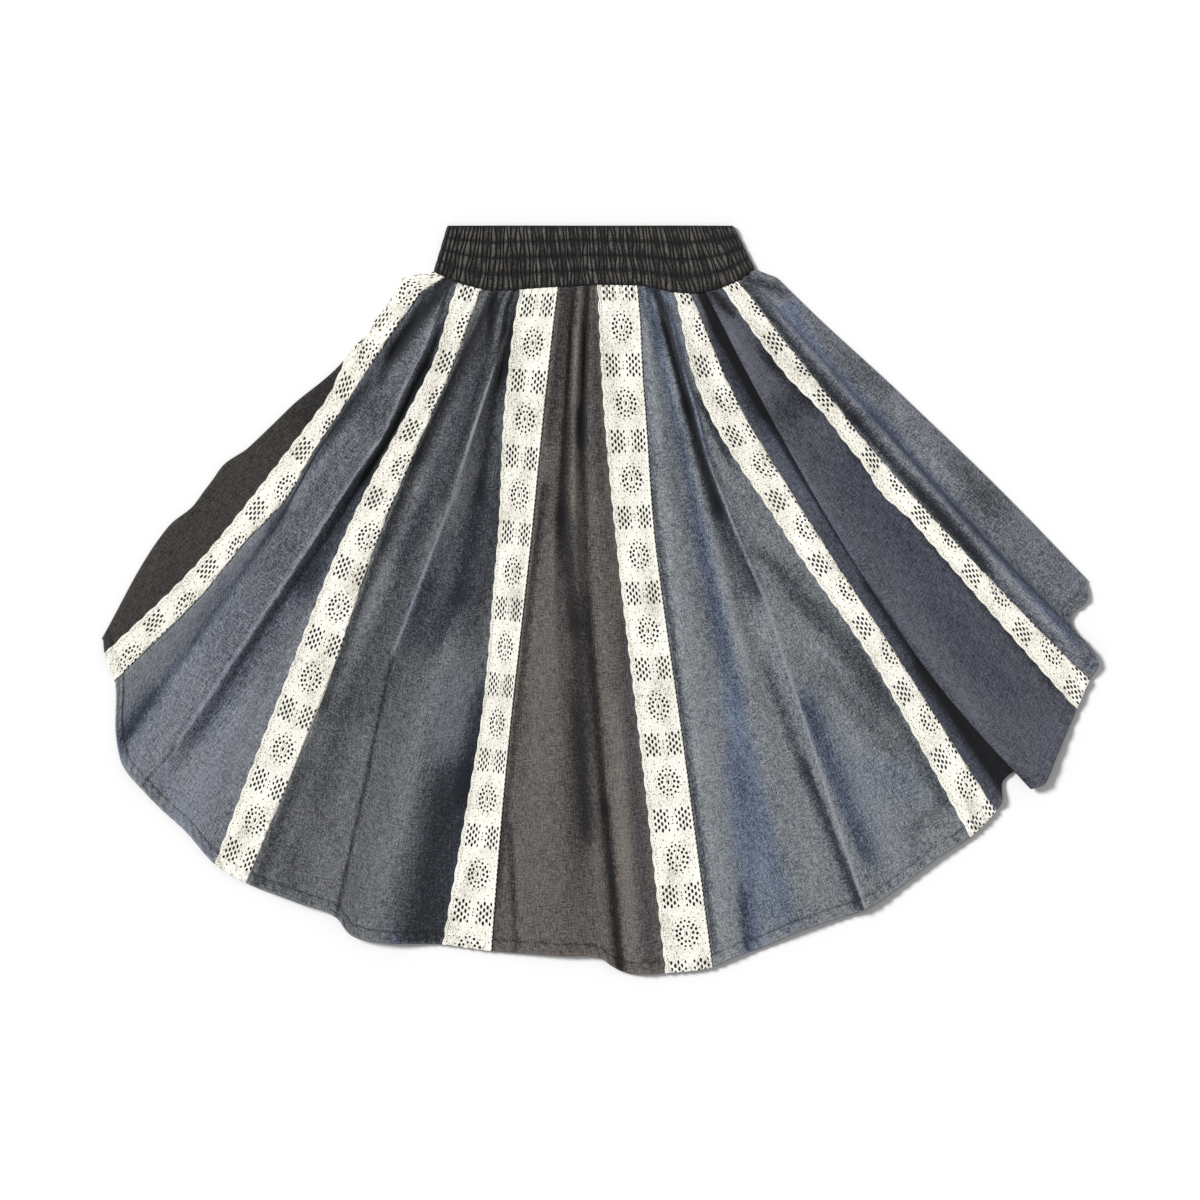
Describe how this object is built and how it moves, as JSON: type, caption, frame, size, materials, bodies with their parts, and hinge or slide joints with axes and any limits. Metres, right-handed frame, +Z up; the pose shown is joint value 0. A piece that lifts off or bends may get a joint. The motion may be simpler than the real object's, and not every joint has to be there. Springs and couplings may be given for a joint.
{
  "type": "gored skirt",
  "caption": "Midi skirt of gored denim and chambray panels with a lace strip in every seam and a smocked elastic waistband, laid flat.",
  "frame": {"origin": "middle of the outline, on the surface the skirt lies on", "axes": "+Z up from the surface, +Y from hem to waist, +X to the right of the laid-out front"},
  "size_m": [1.0462, 0.7848, 0.0145],
  "materials": {
    "cloth_charcoal": "woven denim, matt",
    "cloth_blue": "woven chambray, matt",
    "cloth_slate": "woven chambray, matt",
    "cloth_steel": "woven chambray, matt",
    "cloth_navy": "woven denim, matt",
    "cloth_brown": "woven denim, matt",
    "lace": "cotton lace, matt",
    "band": "smocked denim, matt"
  },
  "bodies": {
    "root": {"waistband": "band", "gore_left": "cloth_charcoal", "gore_front_1": "cloth_blue", "gore_front_2": "cloth_slate", "gore_front_3": "cloth_brown", "gore_front_4": "cloth_steel", "gore_front_5": "cloth_navy", "gore_right": "cloth_blue", "gore_back_1": "cloth_slate", "gore_back_2": "cloth_charcoal", "gore_back_3": "cloth_steel", "gore_back_4": "cloth_navy", "gore_back_5": "cloth_blue", "lace_front_1": "lace", "lace_front_2": "lace", "lace_front_3": "lace", "lace_front_4": "lace", "lace_front_5": "lace", "lace_front_6": "lace", "lace_back_1": "lace", "lace_back_2": "lace", "lace_back_3": "lace", "lace_back_4": "lace", "lace_back_5": "lace", "lace_back_6": "lace"}
  },
  "joints": []
}
